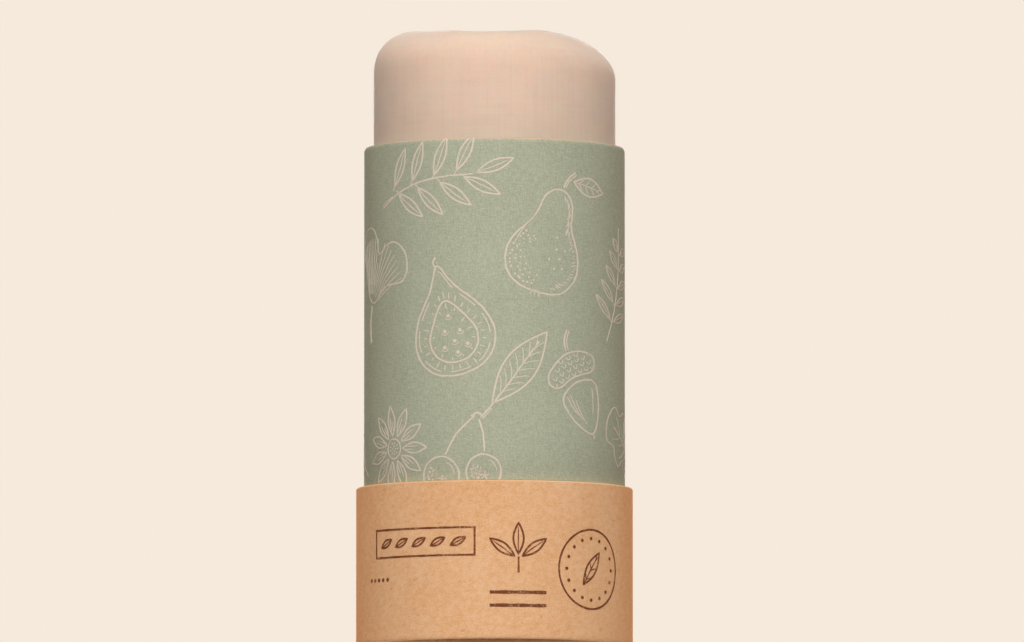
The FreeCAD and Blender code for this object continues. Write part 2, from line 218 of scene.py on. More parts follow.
def unrolled(tree, radius):
    """Place on a round wall laid flat: length round it, height, and distance from the axis."""
    _, (x, y, z) = millimetres(tree)
    angle = maths(tree, "ARCTAN2", x, maths(tree, "MULTIPLY", y, -1.0))
    across = maths(tree, "MULTIPLY", angle, radius)
    squares = maths(tree, "ADD", maths(tree, "MULTIPLY", x, x), maths(tree, "MULTIPLY", y, y))
    depth = maths(tree, "SQRT", squares)
    return node(tree, "ShaderNodeCombineXYZ", {0: across, 1: z, 2: depth}).outputs[0]


def grain(tree, place, size, stretch=(1, 1, 1), detail=2.0, turn=0.0, warp=0.0):
    """Noise with features of one size in millimetres, drawn out along an axis."""
    scale = tuple(size * part for part in stretch)
    turned = {0: place, "Rotation": (0, 0, math.radians(turn)), "Scale": scale}
    mapped = node(tree, "ShaderNodeMapping", turned, vector_type="TEXTURE").outputs[0]
    settings = {"Vector": mapped, "Scale": 1.0, "Detail": detail, "Distortion": warp}
    return node(tree, "ShaderNodeTexNoise", settings).outputs[0]


def layered(tree, layers):
    """Sum of noises about 0.5, each with its own weight."""
    total = 0.5
    for value, weight in layers:
        centred = maths(tree, "SUBTRACT", value, 0.5)
        total = maths(tree, "MULTIPLY_ADD", centred, weight, total)
    return total


def finished(tree, colour, roughness, height, bump, **constants):
    """Ends a material in one Principled shader; bump is in millimetres, constants are its sockets."""
    shader = node(tree, "ShaderNodeBsdfPrincipled", {"Base Color": colour, "Roughness": roughness})
    for socket, value in constants.items():
        shader.inputs[socket.replace("_", " ")].default_value = value
    relief = node(tree, "ShaderNodeBump", {"Height": height, "Distance": bump * MM, "Strength": 1.0})
    tree.links.new(relief.outputs[0], shader.inputs["Normal"])
    node(tree, "ShaderNodeOutputMaterial", {0: shader.outputs[0]})


def new_material(name):
    material = bpy.data.materials.new(name)
    material.use_nodes = True
    material.node_tree.nodes.clear()
    return material, material.node_tree


def kraft_flecks(tree, place):
    """Short fibres lying three ways, as a share from 0 to 1."""
    shares = []
    for turn in (8.0, 67.0, -52.0):
        fibre = grain(tree, place, 0.16, (9.0, 1.0, 1.0), 1.0, turn, 0.4)
        shares.append(between(tree, fibre, 0.63, 0.78))
    return maths(tree, "MAXIMUM", maths(tree, "MAXIMUM", shares[0], shares[1]), shares[2])


def kraft(tree, place, deep, middle, pale, contrast=1.0):
    """Colour and relief of unbleached board or paper: mottled pulp, lighter and darker fibres."""
    fine = grain(tree, place, 0.20, detail=3.0)
    mottle = grain(tree, place, 0.7, (1.3, 1.0, 1.0), 3.0, 12.0)
    cloud = grain(tree, place, 6.0, (1.0, 1.6, 1.0), 2.0)
    pulp = layered(tree, [(fine, 1.3 * contrast), (mottle, 0.7 * contrast), (cloud, 0.4 * contrast)])
    base = ramp(tree, pulp, [(0.15, linear(deep)), (0.50, linear(middle)), (0.85, linear(pale))])
    flecks = kraft_flecks(tree, place)
    light = blend_colours(tree, maths(tree, "MULTIPLY", flecks, 0.45), base, linear(pale))
    dots = grain(tree, place, 0.6, (1.8, 1.0, 1.0), 0.0, 20.0)
    dark = between(tree, dots, 0.77, 0.84)
    speckled = blend_colours(tree, maths(tree, "MULTIPLY", dark, 0.22), light, shaded(deep, 0.50))
    return speckled, layered(tree, [(fine, 0.7), (mottle, 0.4), (flecks, 0.3)])


def collar_material():
    material, tree = new_material("collar_kraft")
    place = unrolled(tree, COLLAR_RADIUS)
    colour, height = kraft(tree, place, KRAFT_DEEP, KRAFT, KRAFT_PALE)
    z = node(tree, "ShaderNodeSeparateXYZ", {0: place}).outputs[1]
    ragged = maths(tree, "MULTIPLY_ADD", grain(tree, place, 0.5), 0.16, z)
    # Paler band along the top edge: partly the board's cut edge, partly a painted highlight where the
    # rounding faces the key lamp
    top = between(tree, ragged, COLLAR_HIGH.z - 0.22, COLLAR_HIGH.z - 0.02)
    edged = blend_colours(tree, maths(tree, "MULTIPLY", top, 0.55), colour, linear(COLLAR_CUT_EDGE_AND_HIGHLIGHT))
    # Painted shade: a darker copy of the kraft blended in towards the collar's foot and underside
    foot = between(tree, ragged, 0.9, 0.1)
    foot_painted_shade = blend_colours(tree, maths(tree, "MULTIPLY", foot, 0.20), edged, shaded(KRAFT, 0.55))
    finished(
        tree, foot_painted_shade, 0.74, height, 0.035, Specular_IOR_Level=0.12, Diffuse_Roughness=0.15,
        Sheen_Weight=0.4, Sheen_Roughness=0.5, Sheen_Tint=(1.0, 0.3, 0.05, 1.0))
    return material


def board_material():
    """Tube's board, with a paler cut edge at the rim."""
    material, tree = new_material("tube_board")
    place = unrolled(tree, TUBE_HIGH.x)
    colour, height = kraft(tree, place, *BOARD_TONES, contrast=1.1)
    z = node(tree, "ShaderNodeSeparateXYZ", {0: place}).outputs[1]
    rim = between(tree, z, TUBE_HIGH.z - 1.0, TUBE_HIGH.z - 0.4)
    edged = blend_colours(tree, maths(tree, "MULTIPLY", rim, 0.75), colour, linear(BOARD_EDGE))
    finished(tree, edged, 0.82, height, 0.05, Specular_IOR_Level=0.3)
    return material


def pressed_board_material():
    """Piston's board, darker, with the faint rings of its pressing."""
    material, tree = new_material("pressed_board")
    place = unrolled(tree, BAR_RADIUS)
    colour, height = kraft(tree, place, *PISTON_TONES, contrast=1.2)
    depth = node(tree, "ShaderNodeSeparateXYZ", {0: place}).outputs[2]
    ring = maths(tree, "SINE", maths(tree, "MULTIPLY", depth, 4.2))
    pressed = maths(tree, "MULTIPLY_ADD", ring, 0.25, height)
    finished(tree, colour, 0.85, pressed, 0.06, Specular_IOR_Level=0.3)
    return material


def green_material():
    material, tree = new_material("printed_green")
    place = unrolled(tree, WRAP_RADIUS)
    fine = grain(tree, place, 0.2, detail=3.0)
    upright = grain(tree, place, 0.2, (1.0, 5.0, 1.0), 2.0, 4.0, 0.3)
    level = grain(tree, place, 0.2, (6.0, 1.0, 1.0), 2.0, -5.0, 0.3)
    mottle = grain(tree, place, 0.9, detail=3.0)
    cloud = grain(tree, place, 5.0, (1.0, 1.8, 1.0), 2.0)
    pulp = layered(tree, [(fine, 1.7), (upright, 0.9), (level, 0.7), (mottle, 0.3), (cloud, 0.3)])
    colour = ramp(tree, pulp, [
        (0.10, shaded(GREEN, 0.80)),
        (0.50, linear(GREEN)),
        (0.90, shaded(GREEN, 1.20)),
    ])
    z = node(tree, "ShaderNodeSeparateXYZ", {0: place}).outputs[1]
    uneven = maths(tree, "SUBTRACT", grain(tree, place, 0.6, detail=3.0), 0.5)
    ragged = maths(tree, "MULTIPLY_ADD", uneven, 0.5, z)
    worn = between(tree, ragged, WRAP_HIGH.z - 0.20, WRAP_HIGH.z - 0.02)
    edged = blend_colours(tree, maths(tree, "MULTIPLY", worn, 0.7), colour, linear(WORN_GREEN))
    height = layered(tree, [(fine, 0.6), (upright, 0.4), (level, 0.4)])
    finished(tree, edged, 0.74, height, 0.03, Specular_IOR_Level=0.25)
    return material


def ink_material(name, colour, paper, radius):
    """Ink that has sunk unevenly into the paper."""
    material, tree = new_material(name)
    place = unrolled(tree, radius)
    patches = layered(tree, [(grain(tree, place, 0.3, detail=3.0), 1.0), (grain(tree, place, 2.5), 0.6)])
    thin = maths(tree, "SUBTRACT", 1.0, between(tree, patches, 0.22, 0.50))
    inked = blend_colours(tree, maths(tree, "MULTIPLY", thin, 0.45), linear(colour), paper)
    fine = grain(tree, place, 0.2, detail=3.0)
    finished(tree, inked, 0.8, fine, 0.02, Specular_IOR_Level=0.3)
    return material


def bar_material():
    """Waxy deodorant: smooth, with faint upright drag marks, soft clouds and a few pinholes darkened with
    painted shade.
    """
    material, tree = new_material("waxy_bar")
    place, (x, y, z) = millimetres(tree)
    drag = grain(tree, place, 0.5, (1.0, 1.0, 26.0), 2.0)
    levels = grain(tree, place, 0.35, (30.0, 30.0, 1.0), 1.0)
    cloud = grain(tree, place, 4.5, (1.0, 1.0, 0.6), 3.0)
    fine = grain(tree, place, 0.18, detail=2.0)
    wax = layered(tree, [(drag, 0.45), (levels, 0.25), (cloud, 0.5), (fine, 0.3)])
    colour = ramp(tree, wax, [
        (0.22, shaded(BAR_COLOUR, 0.93)),
        (0.50, linear(BAR_COLOUR)),
        (0.78, shaded(BAR_COLOUR, 1.05)),
    ])
    # Pinholes: pressed in by the bump, and painted darker as shade inside them
    pores = between(tree, grain(tree, place, 0.5, detail=0.0), 0.80, 0.86)
    pits_painted_shade = blend_colours(tree, maths(tree, "MULTIPLY", pores, 0.10), colour, shaded(BAR_COLOUR, 0.7))
    relief = layered(tree, [(drag, 0.5), (cloud, 0.8), (fine, 0.25)])
    height = maths(tree, "MULTIPLY_ADD", pores, -0.5, relief)
    rough = maths(tree, "MULTIPLY_ADD", cloud, 0.14, 0.44)
    finished(
        tree, pits_painted_shade, rough, height, 0.03,
        Subsurface_Weight=0.85, Subsurface_Scale=0.006, Subsurface_Radius=(1.0, 0.35, 0.20),
        Specular_IOR_Level=0.08)
    return material


# Worn bar

def bar_mesh():
    """Round bar whose top edge is worn lower and wider at the right."""
    rows = WALL_ROWS + SHOULDER_ROWS + TOP_ROWS
    verts = []
    for row in range(rows):
        for turn in range(BAR_TURNS):
            verts.append(bar_point(row, 2 * math.pi * turn / BAR_TURNS))
    faces = []
    for row in range(rows - 1):
        here = row * BAR_TURNS
        above = here + BAR_TURNS
        for turn in range(BAR_TURNS):
            after = (turn + 1) % BAR_TURNS
            faces.append((here + turn, here + after, above + after, above + turn))
    top = len(verts)
    foot = top + 1
    verts.append(bar_point(rows, 0.0))
    verts.append((0.0, 0.0, BAR_LOW.z * MM))
    last = (rows - 1) * BAR_TURNS
    for turn in range(BAR_TURNS):
        after = (turn + 1) % BAR_TURNS
        faces.append((last + turn, last + after, top))
        faces.append((after, turn, foot))
    mesh = bpy.data.meshes.new("worn_bar")
    mesh.from_pydata(verts, [], faces)
    mesh.shade_smooth()
    return mesh


def bar_point(row, turn):
    """Point of the bar's skin in metres: up the wall, over the shoulder, then in across the top.

    The turn is in radians from the right. The shoulder is part of a superellipse, fuller in front.
    """
    side = (1 + math.cos(turn)) / 2
    sides_only = abs(math.cos(turn)) ** 1.5
    side_inset = SHOULDER_LEFT + (SHOULDER_RIGHT - SHOULDER_LEFT) * side
    inset = SHOULDER_FRONT + (side_inset - SHOULDER_FRONT) * sides_only
    drop = DROP_LEFT + (DROP_RIGHT - DROP_LEFT) * side
    fullness = 2.3 - (0.1 + 0.30 * side) * sides_only
    power = 2 / fullness
    shoulder_foot = BAR_TOP - drop
    slope = 0.0
    if row < WALL_ROWS:
        share = row / WALL_ROWS
        inward = 0.0
        height = BAR_LOW.z + share * (shoulder_foot - BAR_LOW.z)
    elif row < WALL_ROWS + SHOULDER_ROWS:
        angle = math.pi / 2 * (row - WALL_ROWS) / SHOULDER_ROWS
        inward = inset * (1 - math.cos(angle) ** power)
        height = shoulder_foot + drop * math.sin(angle) ** power
        slope = TOP_SLOPE * math.sin(angle)
    else:
        share = (row - WALL_ROWS - SHOULDER_ROWS) / TOP_ROWS
        inward = inset + (BAR_RADIUS - inset) * share
        height = BAR_TOP
        slope = TOP_SLOPE
    radius = BAR_RADIUS - inward
    x = radius * math.cos(turn)
    y = radius * math.sin(turn)
    return Vector(worn(x, y, height, slope)) * MM


def worn(x, y, height, slope):
    """Skin point with the slight waves and ridges that wear leaves on the shoulder and the top."""
    above = min(max(1.0 - (BAR_TOP - height) / DROP_RIGHT, 0.0), 1.0) ** 2
    wave = noise.noise(Vector((x / 6.0 + 3.1, y / 14.0, 0.7)))
    wave += 0.4 * noise.noise(Vector((x / 2.5, y / 9.0, 4.2)))
    ridge = sum(rise * math.exp(-((x - place) / breadth) ** 2) for place, rise, breadth in TOP_RIDGES)
    ripple = 0.02 * noise.noise(Vector((x / 2.2, y / 2.2, height / 7.0)))
    scale = 1.0 - (0.02 + ripple) / (math.hypot(x, y) or 1.0)
    return x * scale, y * scale, height + y * slope + above * (ridge + 0.05 * wave - 0.05)


# Drawings, in millimetres

rng = random.Random(7)


def smooth(points, closed=False):
    """Points a STEP apart on the cubic spline through the given ones."""
    through = np.array(points, float)
    if closed:
        through = np.vstack([through, through[:1]])
    spans = np.linalg.norm(np.diff(through, axis=0), axis=1)
    knots = np.concatenate([[0.0], np.cumsum(spans)])
    count = len(through)
    system = np.zeros((count, count))
    wanted = np.zeros((count, 2))
    slopes = np.diff(through, axis=0) / spans[:, None]
    for i in range(1, count - 1):
        system[i, i - 1:i + 2] = spans[i - 1], 2 * (spans[i - 1] + spans[i]), spans[i]
        wanted[i] = 6 * (slopes[i] - slopes[i - 1])
    if closed:
        system[0, [0, 1, -2]] = 2 * (spans[-1] + spans[0]), spans[0], spans[-1]
        wanted[0] = 6 * (slopes[0] - slopes[-1])
        system[-1, [0, -1]] = 1.0, -1.0
    else:
        system[0, 0] = system[-1, -1] = 1.0
    bends = np.linalg.solve(system, wanted)
    places = np.linspace(0, knots[-1], max(3, round(knots[-1] / STEP) + 1))
    spots = np.clip(np.searchsorted(knots, places, side="right") - 1, 0, count - 2)
    span = spans[spots][:, None]
    after = (places - knots[spots])[:, None]
    before = span - after
    curve = (bends[spots] * before ** 3 + bends[spots + 1] * after ** 3) / (6 * span)
    curve += (through[spots] / span - bends[spots] * span / 6) * before
    curve += (through[spots + 1] / span - bends[spots + 1] * span / 6) * after
    return curve[:-1] if closed else curve


def wobbly(points):
    """Hand tremor: three slow sideways waves added to a line, none at its ends."""
    lengths = (1.7, 3.1, 5.3)
    phases = [(rng.uniform(0, WHOLE_WAVE), rng.uniform(0, WHOLE_WAVE)) for _ in lengths]
    along = np.arange(len(points)) * STEP
    shift = np.zeros_like(points)
    for length, (across_phase, up_phase) in zip(lengths, phases):
        shift[:, 0] += np.sin(along * WHOLE_WAVE / length + across_phase)
        shift[:, 1] += np.sin(along * WHOLE_WAVE / length + up_phase)
    fade = np.minimum(1.0, np.minimum(along, along[::-1]) / 1.5)[:, None]
    return points + shift * fade * TREMOR / len(lengths)


def line(points, width=LINE_WIDTH, closed=False, taper=0.0, steady=False):
    """Drawn line: its middle points, its half width at each and whether it closes."""
    middle = smooth(points, closed)
    if not steady:
        middle = wobbly(middle)
    share = np.linspace(-1, 1, len(middle))
    press = 1.0 - taper * np.abs(share) ** 2.5
    waver = 1.0 + 0.10 * np.sin(np.arange(len(middle)) * STEP * 2.3 + rng.uniform(0, WHOLE_WAVE))
    return "line", middle, width / 2 * press * waver, closed


def hair(start, end, bow=0.0, width=FINE_WIDTH):
    """Fine tapered stroke between two points, bowed sideways."""
    start = np.array(start, float)
    end = np.array(end, float)
    along = end - start
    middle = (start + end) / 2 + np.array([-along[1], along[0]]) * bow
    return line([start, middle, end], width, taper=0.55)


def dot(centre, radius):
    return "dot", np.array(centre, float), radius


def stipple(outline, shares, depth, spacing=0.75):
    """Dots that thin out inward from a stretch of an outline."""
    points = smooth(outline, True)
    middle = points.mean(axis=0)
    dots = []
    first, last = shares
    for ring in range(depth):
        for share in np.arange(first, last, 0.018 + 0.008 * ring):
            edge = points[int(share * len(points)) % len(points)]
            inward = (middle - edge) / np.linalg.norm(middle - edge)
            reach = 0.85 + ring * spacing + rng.uniform(-0.15, 0.15)
            aside = np.array([-inward[1], inward[0]]) * rng.uniform(-0.2, 0.2)
            dots.append(dot(edge + inward * reach + aside, 0.17 - 0.018 * ring + rng.uniform(-0.02, 0.02)))
    return dots


def hatching(outline, shares, length, count):
    """Short strokes that run in from a stretch of an outline, slanting along it."""
    points = smooth(outline, True)
    middle = points.mean(axis=0)
    strokes = []
    for share in np.linspace(*shares, count):
        spot = int(share * len(points)) % len(points)
        along = points[(spot + 2) % len(points)] - points[spot - 2]
        along /= np.linalg.norm(along)
        inward = (middle - points[spot]) / np.linalg.norm(middle - points[spot])
        start = points[spot] + inward * rng.uniform(0.0, 0.35)
        reach = length * rng.uniform(0.45, 1.25)
        strokes.append(hair(start, start + (inward * 0.8 + along * 0.6) * reach, 0.05))
    return strokes


def leaf(base, tip, breadth, veins=3, width=LINE_WIDTH, midrib=True):
    """Pointed leaf with a midrib and slanting veins."""
    base = np.array(base, float)
    tip = np.array(tip, float)
    along = tip - base
    side = np.array([-along[1], along[0]]) / np.linalg.norm(along)
    half = (breadth - width) / 2
    count = max(8, round(np.linalg.norm(along) / STEP))
    shares = np.arange(count) / count
    up = base + np.outer(shares, along) + np.outer(np.sin(np.pi * shares) * half, side)
    down = tip - np.outer(shares, along) - np.outer(np.sin(np.pi * shares) * half, side)
    outline = np.vstack([up, down])
    parts = [("line", outline, np.full(len(outline), width / 2), True)]
    if midrib:
        parts.append(hair(base + along * 0.03, base + along * 0.86, 0.012 * rng.choice((-1, 1))))
    for vein in range(veins):
        start = 0.14 + 0.60 * vein / max(1, veins - 1)
        end = start + 0.15
        for way in (-1, 1):
            reach = side * way * half * math.sin(math.pi * end) * 0.82
            root = base + along * start
            parts.append(hair(root, base + along * end + reach, -0.06 * way, FINE_WIDTH * 0.85))
    return parts


def mirrored(points):
    return points + [(-x, y) for x, y in reversed(points) if abs(x) > 0]


def ring_points(centre, radius, count=12):
    turns = [2 * math.pi * index / count for index in range(count)]
    return [(centre[0] + radius * math.cos(turn), centre[1] + radius * math.sin(turn)) for turn in turns]


def arc(centre, radius, start, end, width=FINE_WIDTH):
    """Fine tapered arc between two angles in degrees."""
    turns = np.radians(np.linspace(start, end, 7))
    points = [(centre[0] + radius * math.cos(t), centre[1] + radius * math.sin(t)) for t in turns]
    return line(points, width, taper=0.5)


def pear():
    half = [(0, 7.6), (2.2, 6.4), (3.1, 3.0), (5.2, -0.6), (6.1, -4.2), (4.1, -7.7), (0, -8.6)]
    outline = mirrored(half)
    parts = [
        line(outline, closed=True),
        line([(0.2, 8.1), (0.6, 9.6), (1.7, 11.0)]),
        line([(0.55, 8.2), (0.95, 9.4), (1.95, 10.7)], FINE_WIDTH),
        line([(-2.6, 4.6), (-3.4, 2.2), (-4.7, -0.4), (-5.2, -2.6)], FINE_WIDTH, taper=0.6),
    ]
    parts += hatching([(x * 0.92, y * 0.94) for x, y in outline], (0.02, 0.44), 0.9, 34)
    parts += leaf((1.7, 9.5), (8.3, 9.9), 3.0, 4)
    parts += stipple(outline, (0.52, 0.80), 4)
    for x, y in ((1.6, -1.4), (2.5, -2.7), (0.8, -3.2), (2.0, -4.4), (3.3, -4.0), (1.2, 0.4), (3.1, -1.2)):
        parts.append(dot((x, y), 0.19))
    for x in (-0.8, 0.0, 0.8):
        parts.append(hair((x * 0.5, -8.3), (x, -9.3)))
    return parts


def fig_half():
    half = [(0, 8.8), (1.3, 6.6), (3.8, 3.2), (6.2, -0.8), (6.2, -4.6), (3.8, -7.4), (0, -8.3)]
    hollow = [(0, 3.2), (2.6, 0.4), (3.9, -2.8), (2.7, -5.4), (0, -6.3)]
    seeds = [(0, 0.9), (-1.1, -1.3), (1.3, -1.7), (0.1, -3.1), (-1.7, -3.7), (2.0, -4.0), (0.2, -4.9)]
    parts = [line(mirrored(half), closed=True), line(mirrored(hollow), closed=True)]
    skin = smooth(mirrored([(x * 0.89, (y + 1.5) * 0.91 - 1.5) for x, y in half]), True)
    for start in range(0, len(skin) - 14, 19):
        parts.append(("line", skin[start:start + 14], np.full(14, FINE_WIDTH / 2), False))
    for seed in seeds:
        parts.append(dot(seed, 0.3))
        parts.append(arc(seed, 0.58, 200, 340, FINE_WIDTH * 0.8))
    rim = smooth(mirrored(hollow), True)
    middle = np.array((0.0, -2.2))
    for index in range(0, len(rim), 4):
        outward = (rim[index] - middle) / np.linalg.norm(rim[index] - middle)
        gap = 0.45 + rng.uniform(-0.1, 0.1)
        length = 0.7 + rng.uniform(-0.2, 0.35)
        parts.append(hair(rim[index] + outward * gap, rim[index] + outward * (gap + length)))
        if index % 8 == 0:
            inner_end = rim[index] - outward * (0.8 + rng.uniform(0, 0.4))
            parts.append(hair(rim[index] - outward * 0.35, inner_end))
    parts.append(line([(-0.3, 8.6), (-0.5, 9.5), (0.1, 10.1)], LINE_WIDTH))
    return parts


def olive_sprig():
    leaf_length = 6.2
    leaves = [
        (-6.8, 58), (-6.2, -48), (-3.0, 62), (-2.2, -54),
        (1.0, 60), (1.8, -46), (4.8, 54), (5.8, -36),
    ]
    parts = [
        line([(-10.2, -1.9), (-5.0, -0.3), (0.5, 0.2), (7.2, -0.4)]),
        line([(-10.3, -1.5), (-7.6, -0.75)], FINE_WIDTH),
    ]
    for x, degrees in leaves:
        angle = math.radians(degrees)
        base = (x, math.copysign(0.6, degrees))
        tip = (x + leaf_length * math.cos(angle), base[1] + leaf_length * math.sin(angle))
        parts += leaf(base, tip, 1.9, 0)
        parts.append(hair((x - 0.45, 0.0), base, 0.1))
    parts += leaf((7.8, -0.3), (13.8, 0.9), 1.9, 0)
    return parts


def ginkgo_leaf():
    right = [(0.7, -3.0), (3.4, 0.4), (7.2, 2.6), (6.9, 5.6), (4.0, 7.5), (1.7, 6.6)]
    left = [(-x, y) for x, y in reversed(right)]
    parts = [
        line(right + [(0, 4.6)] + left, closed=True),
        line([(0, -3.6), (0.3, -6.6), (1.6, -9.2)]),
        line([(0.35, -3.7), (0.65, -6.5), (1.9, -8.9)], FINE_WIDTH),
    ]
    origin = np.array((0.0, -4.4))
    for index in range(17):
        degrees = 47 + index * 86 / 16
        way = np.array((math.cos(math.radians(degrees)), math.sin(math.radians(degrees))))
        reach = 9.7 + 1.5 * abs(math.cos(math.radians(degrees * 2)))
        if index == 8:
            reach = 7.6
        start = 2.6 + 1.5 * (index % 2)
        parts.append(hair(origin + way * start, origin + way * reach, 0.02 * (8 - index) / 8))
    return parts


def acorn():
    nut = [(0, -7.6), (1.6, -6.4), (3.3, -3.2), (3.4, -0.6), (1.8, 0.5)]
    cap = [(0, 5.5), (2.8, 4.7), (4.7, 2.7), (4.0, 1.4), (1.6, 1.5)]
    parts = [
        line(mirrored(nut), closed=True),
        line(mirrored(cap), closed=True),
        line([(0, 5.9), (0.3, 7.4), (1.4, 8.8)]),
        line([(0.4, 5.9), (0.7, 7.2), (1.7, 8.5)], FINE_WIDTH),
        hair((0, -7.7), (0, -8.5), 0.0, LINE_WIDTH),
    ]
    for row, half_width, count in ((2.2, 3.9, 7), (3.1, 3.5, 6), (4.0, 2.6, 5), (4.8, 1.5, 3)):
        for index in range(count):
            x = half_width * (2 * index / (count - 1) - 1)
            y = row - 0.03 * x * x
            parts.append(line([(x - 0.42, y + 0.2), (x, y - 0.32), (x + 0.42, y + 0.2)], FINE_WIDTH * 0.85))
    grooves = [
        (-2.6, -3.9, -0.6), (-2.0, -5.0, -0.4), (-1.3, -5.9, -1.6),
        (2.5, -3.4, -1.1), (1.9, -4.9, -3.0),
    ]
    for x, low, high in grooves:
        parts.append(hair((x, high), (x * (1 + low / 12), low), 0.05 * (1 if x > 0 else -1)))
    return parts


def fern():
    leaflets = [(-6.0, 5.4), (-3.2, 5.0), (-0.4, 4.4), (2.4, 3.7), (5.0, 2.9)]
    rise = math.radians(28.0)
    parts = [line([(-0.8, -9.6), (0.5, -4.0), (0.6, 2.0), (-0.9, 8.6)])]
    for height, length in leaflets:
        stem_x = 0.6 - 0.012 * (height - 1.0) ** 2
        for side in (-1, 1):
            base = (stem_x + side * 0.55, height)
            tip = (base[0] + side * length * math.cos(rise), height + length * math.sin(rise))
            parts += leaf(base, tip, 1.5, 0)
            parts.append(hair((stem_x, height - 0.5), base, 0.1 * side))
    return parts


def laurel_leaf():
    parts = leaf((0, -6.8), (0, 7.2), 5.2, 7, midrib=False)
    parts.append(line([(0, -9.6), (0.15, -4.0), (0, 0.5), (-0.1, 5.2)]))
    parts.append(line([(0.35, -9.5), (0.42, -7.4)], FINE_WIDTH))
    return parts


def daisy():
    petals = 11
    parts = [line(ring_points((0, 0), 1.5), closed=True)]
    for index in range(petals):
        turn = 2 * math.pi * index / petals
        way = np.array((math.cos(turn), math.sin(turn)))
        across = np.array((-way[1], way[0]))
        parts += leaf(way * 2.0, way * 6.6, 1.9, 0, midrib=False)
        parts.append(hair(way * 2.6 + across * 0.2, way * 4.9 + across * 0.25))
        parts.append(hair(way * 2.5 - across * 0.2, way * 4.1 - across * 0.25))
    for radius, count in ((0.35, 4), (0.85, 9)):
        parts += [dot(place, 0.14) for place in ring_points((0, 0), radius, count)]
    return parts


def berries():
    parts = [
        line([(-2.9, 0.9), (-1.6, 4.2), (0.9, 7.4)]),
        line([(3.1, 2.1), (2.6, 4.6), (1.6, 6.9)]),
        line([(0.3, 7.2), (1.3, 7.9), (2.2, 7.3)], LINE_WIDTH),
    ]
    for centre, radius in (((-3.2, -2.4), 3.1), ((3.4, -0.9), 2.8)):
        outline = ring_points(centre, radius - LINE_WIDTH / 2)
        parts.append(line(outline, closed=True))
        parts.append(arc(centre, radius * 0.72, 15, 75))
        parts += stipple(outline, (0.42, 0.72), 3, 0.6)
        crown = np.array(centre) + (0.25, radius * 0.1 - 0.8)
        for turn in range(5):
            degrees = math.radians(72 * turn + 20)
            parts.append(hair(crown, crown + np.array((math.cos(degrees), math.sin(degrees))) * 0.75))
    return parts


def oak_leaf():
    right = [
        (0.6, -6.8), (1.5, -4.6), (3.4, -3.6), (3.2, -1.6), (2.4, -0.3),
        (4.3, 1.2), (3.8, 3.2), (2.7, 4.3), (3.0, 6.3), (1.3, 7.7),
    ]
    parts = [
        line(right + [(-x, y) for x, y in reversed(right)], closed=True),
        line([(0, -10.0), (0.2, -6.0), (0, 0.0), (0, 5.4)]),
    ]
    veins = [(-4.6, 2.3, -3.0), (-1.0, 3.2, 1.6), (2.6, 2.0, 5.4), (-2.6, 1.6, -1.4), (0.8, 1.7, 3.0)]
    for start, x, y in veins:
        for way in (-1, 1):
            parts.append(hair((0.08 * way, start), (x * way, y), -0.05 * way))
    return parts


def rule(start, end, width):
    return line([start, ((start[0] + end[0]) / 2, (start[1] + end[1]) / 2), end], width, steady=True)


def frame_mark():
    """Plain frame with a row of leaves in it."""
    half_width = 9.2
    half_height = 2.1
    parts = []
    for side in (-1, 1):
        x = side * half_width
        y = side * half_height
        reach = half_width + MARK_WIDTH / 2
        parts.append(rule((-reach, y), (reach, y), MARK_WIDTH))
        parts.append(rule((x, -half_height), (x, half_height), MARK_WIDTH))
    for index in range(5):
        x = (index - 2) * 3.3
        parts += leaf((x - 1.2, -0.6), (x + 1.2, 0.6), 1.3, 0, MARK_WIDTH)
    return parts


def dot_row():
    return [dot(((index - 2) * 1.1, 0), 0.32) for index in range(5)]


def sprig_mark():
    """Three leaves on a stalk, over two rules."""
    parts = [rule((-4.4, -6.4), (4.4, -6.4), 0.5), rule((-4.4, -8.4), (4.4, -8.4), 0.5)]
    parts += leaf((0, -0.6), (0, 4.2), 1.9, 0, MARK_WIDTH)
    parts += leaf((-0.6, -0.9), (-4.4, 1.8), 1.7, 0, MARK_WIDTH)
    parts += leaf((0.6, -0.9), (4.4, 1.8), 1.7, 0, MARK_WIDTH)
    parts.append(rule((0, -3.4), (0, -1.0), MARK_WIDTH))
    return parts


def seal_mark():
    """Round seal: a ring, a circle of dots and a leaf."""
    parts = [line(ring_points((0, 0), 6.2 - MARK_WIDTH / 2, 20), MARK_WIDTH, True, steady=True)]
    parts += leaf((-1.6, -2.4), (1.8, 2.6), 2.2, 3, MARK_WIDTH)
    parts += [dot(place, 0.28) for place in ring_points((0, 0), 4.7, 16)]
    return parts


# Each drawing's bearing from the front in degrees, share of the field's height, tilt in degrees
WRAP_DRAWINGS = [
    (pear, 25, 0.72, -16),
    (olive_sprig, -30, 0.89, 10),
    (fig_half, -20, 0.47, 14),
    (laurel_leaf, 11, 0.33, -38),
    (acorn, 40, 0.28, 24),
    (ginkgo_leaf, -66, 0.60, -20),
    (daisy, -50, 0.10, 0),
    (berries, -14, 0.05, -8),
    (fern, 68, 0.60, -14),
    (oak_leaf, 80, 0.12, 62),
]
PATTERN_REPEATS = 2
# Each mark's bearing and its height on the collar
COLLAR_MARKS = [
    (frame_mark, -33, 14.8),
    (dot_row, -56, 9.3),
    (sprig_mark, 10, 13.4),
    (seal_mark, 44, 10.8),
]


